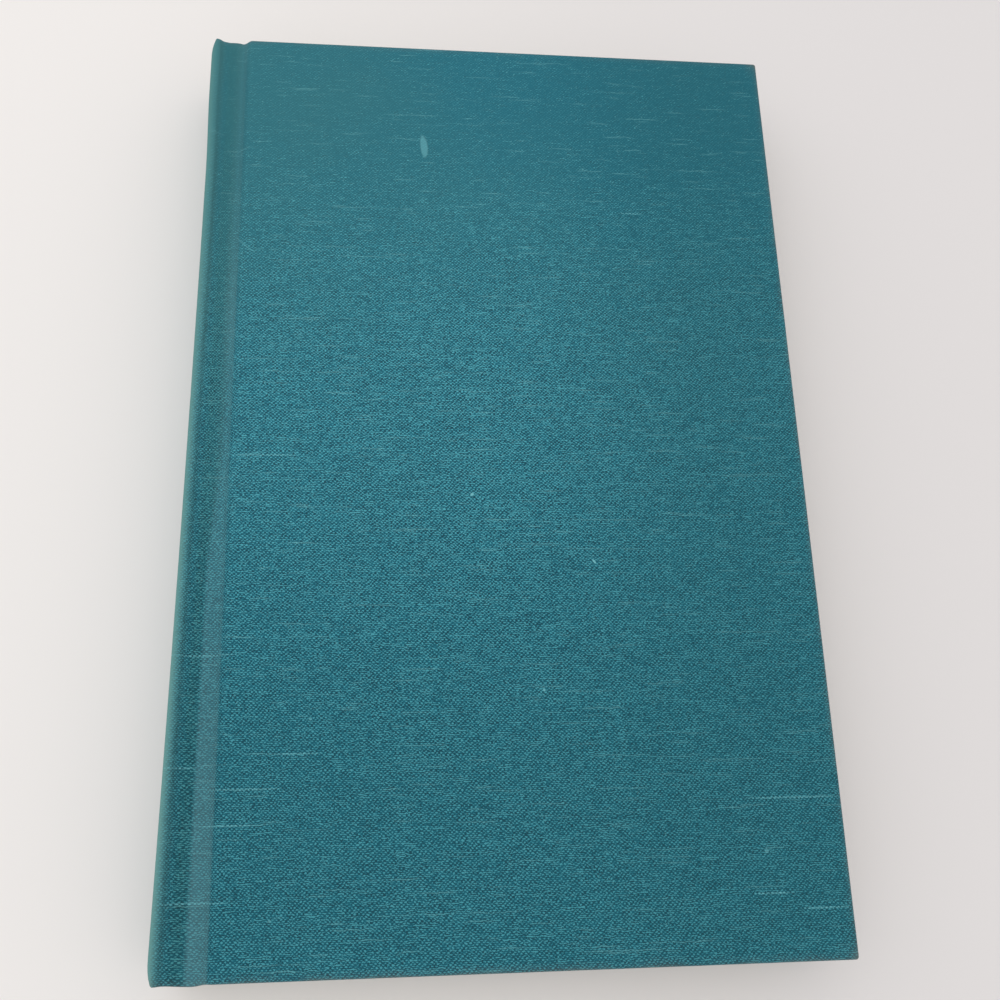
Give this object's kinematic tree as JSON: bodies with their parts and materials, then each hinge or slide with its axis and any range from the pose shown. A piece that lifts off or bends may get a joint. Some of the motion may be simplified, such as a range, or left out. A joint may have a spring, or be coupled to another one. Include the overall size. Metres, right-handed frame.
{
  "type": "hardback book",
  "caption": "Cloth-bound hardback book with a rounded hollow back, French joints and two hinged covers.",
  "frame": {"origin": "middle of the footprint, on the surface under the back cover", "axes": "+X from the spine to the fore-edge, +Y from tail to head, +Z out of the front cover"},
  "size_m": [0.1448, 0.224, 0.0227],
  "materials": {
    "book_cloth": "plain-weave teal book cloth with light slubs, matt",
    "page_paper": "uncoated cream book paper, cut edges",
    "endpaper": "plain uncoated off-white endpaper",
    "grey_board": "grey binder's board",
    "grey_card": "thin grey card",
    "kraft_paper": "brown kraft paper",
    "mull_cloth": "open stiffened cotton",
    "band_cotton": "woven cotton band with a corded edge"
  },
  "bodies": {
    "text_block": {"text_block": "page_paper", "front_flyleaf": "endpaper", "back_flyleaf": "endpaper", "mull": "mull_cloth", "spine_lining": "kraft_paper", "head_band": "band_cotton", "tail_band": "band_cotton", "spine_inlay": "grey_card", "spine_cloth": "book_cloth"},
    "front_cover": {"front_board": "grey_board", "front_cover_cloth": "book_cloth", "front_pastedown": "endpaper"},
    "back_cover": {"back_board": "grey_board", "back_cover_cloth": "book_cloth", "back_pastedown": "endpaper"}
  },
  "joints": [
    {"name": "front_cover_hinge", "type": "hinge", "parent": "text_block", "child": "front_cover", "pos_m": [-0.06975, 0, 0.0217], "axis": [0, -1, 0], "range_deg": [0, 180]},
    {"name": "back_cover_hinge", "type": "hinge", "parent": "text_block", "child": "back_cover", "pos_m": [-0.06975, 0, 0.001], "axis": [0, 1, 0], "range_deg": [0, 180]}
  ]
}
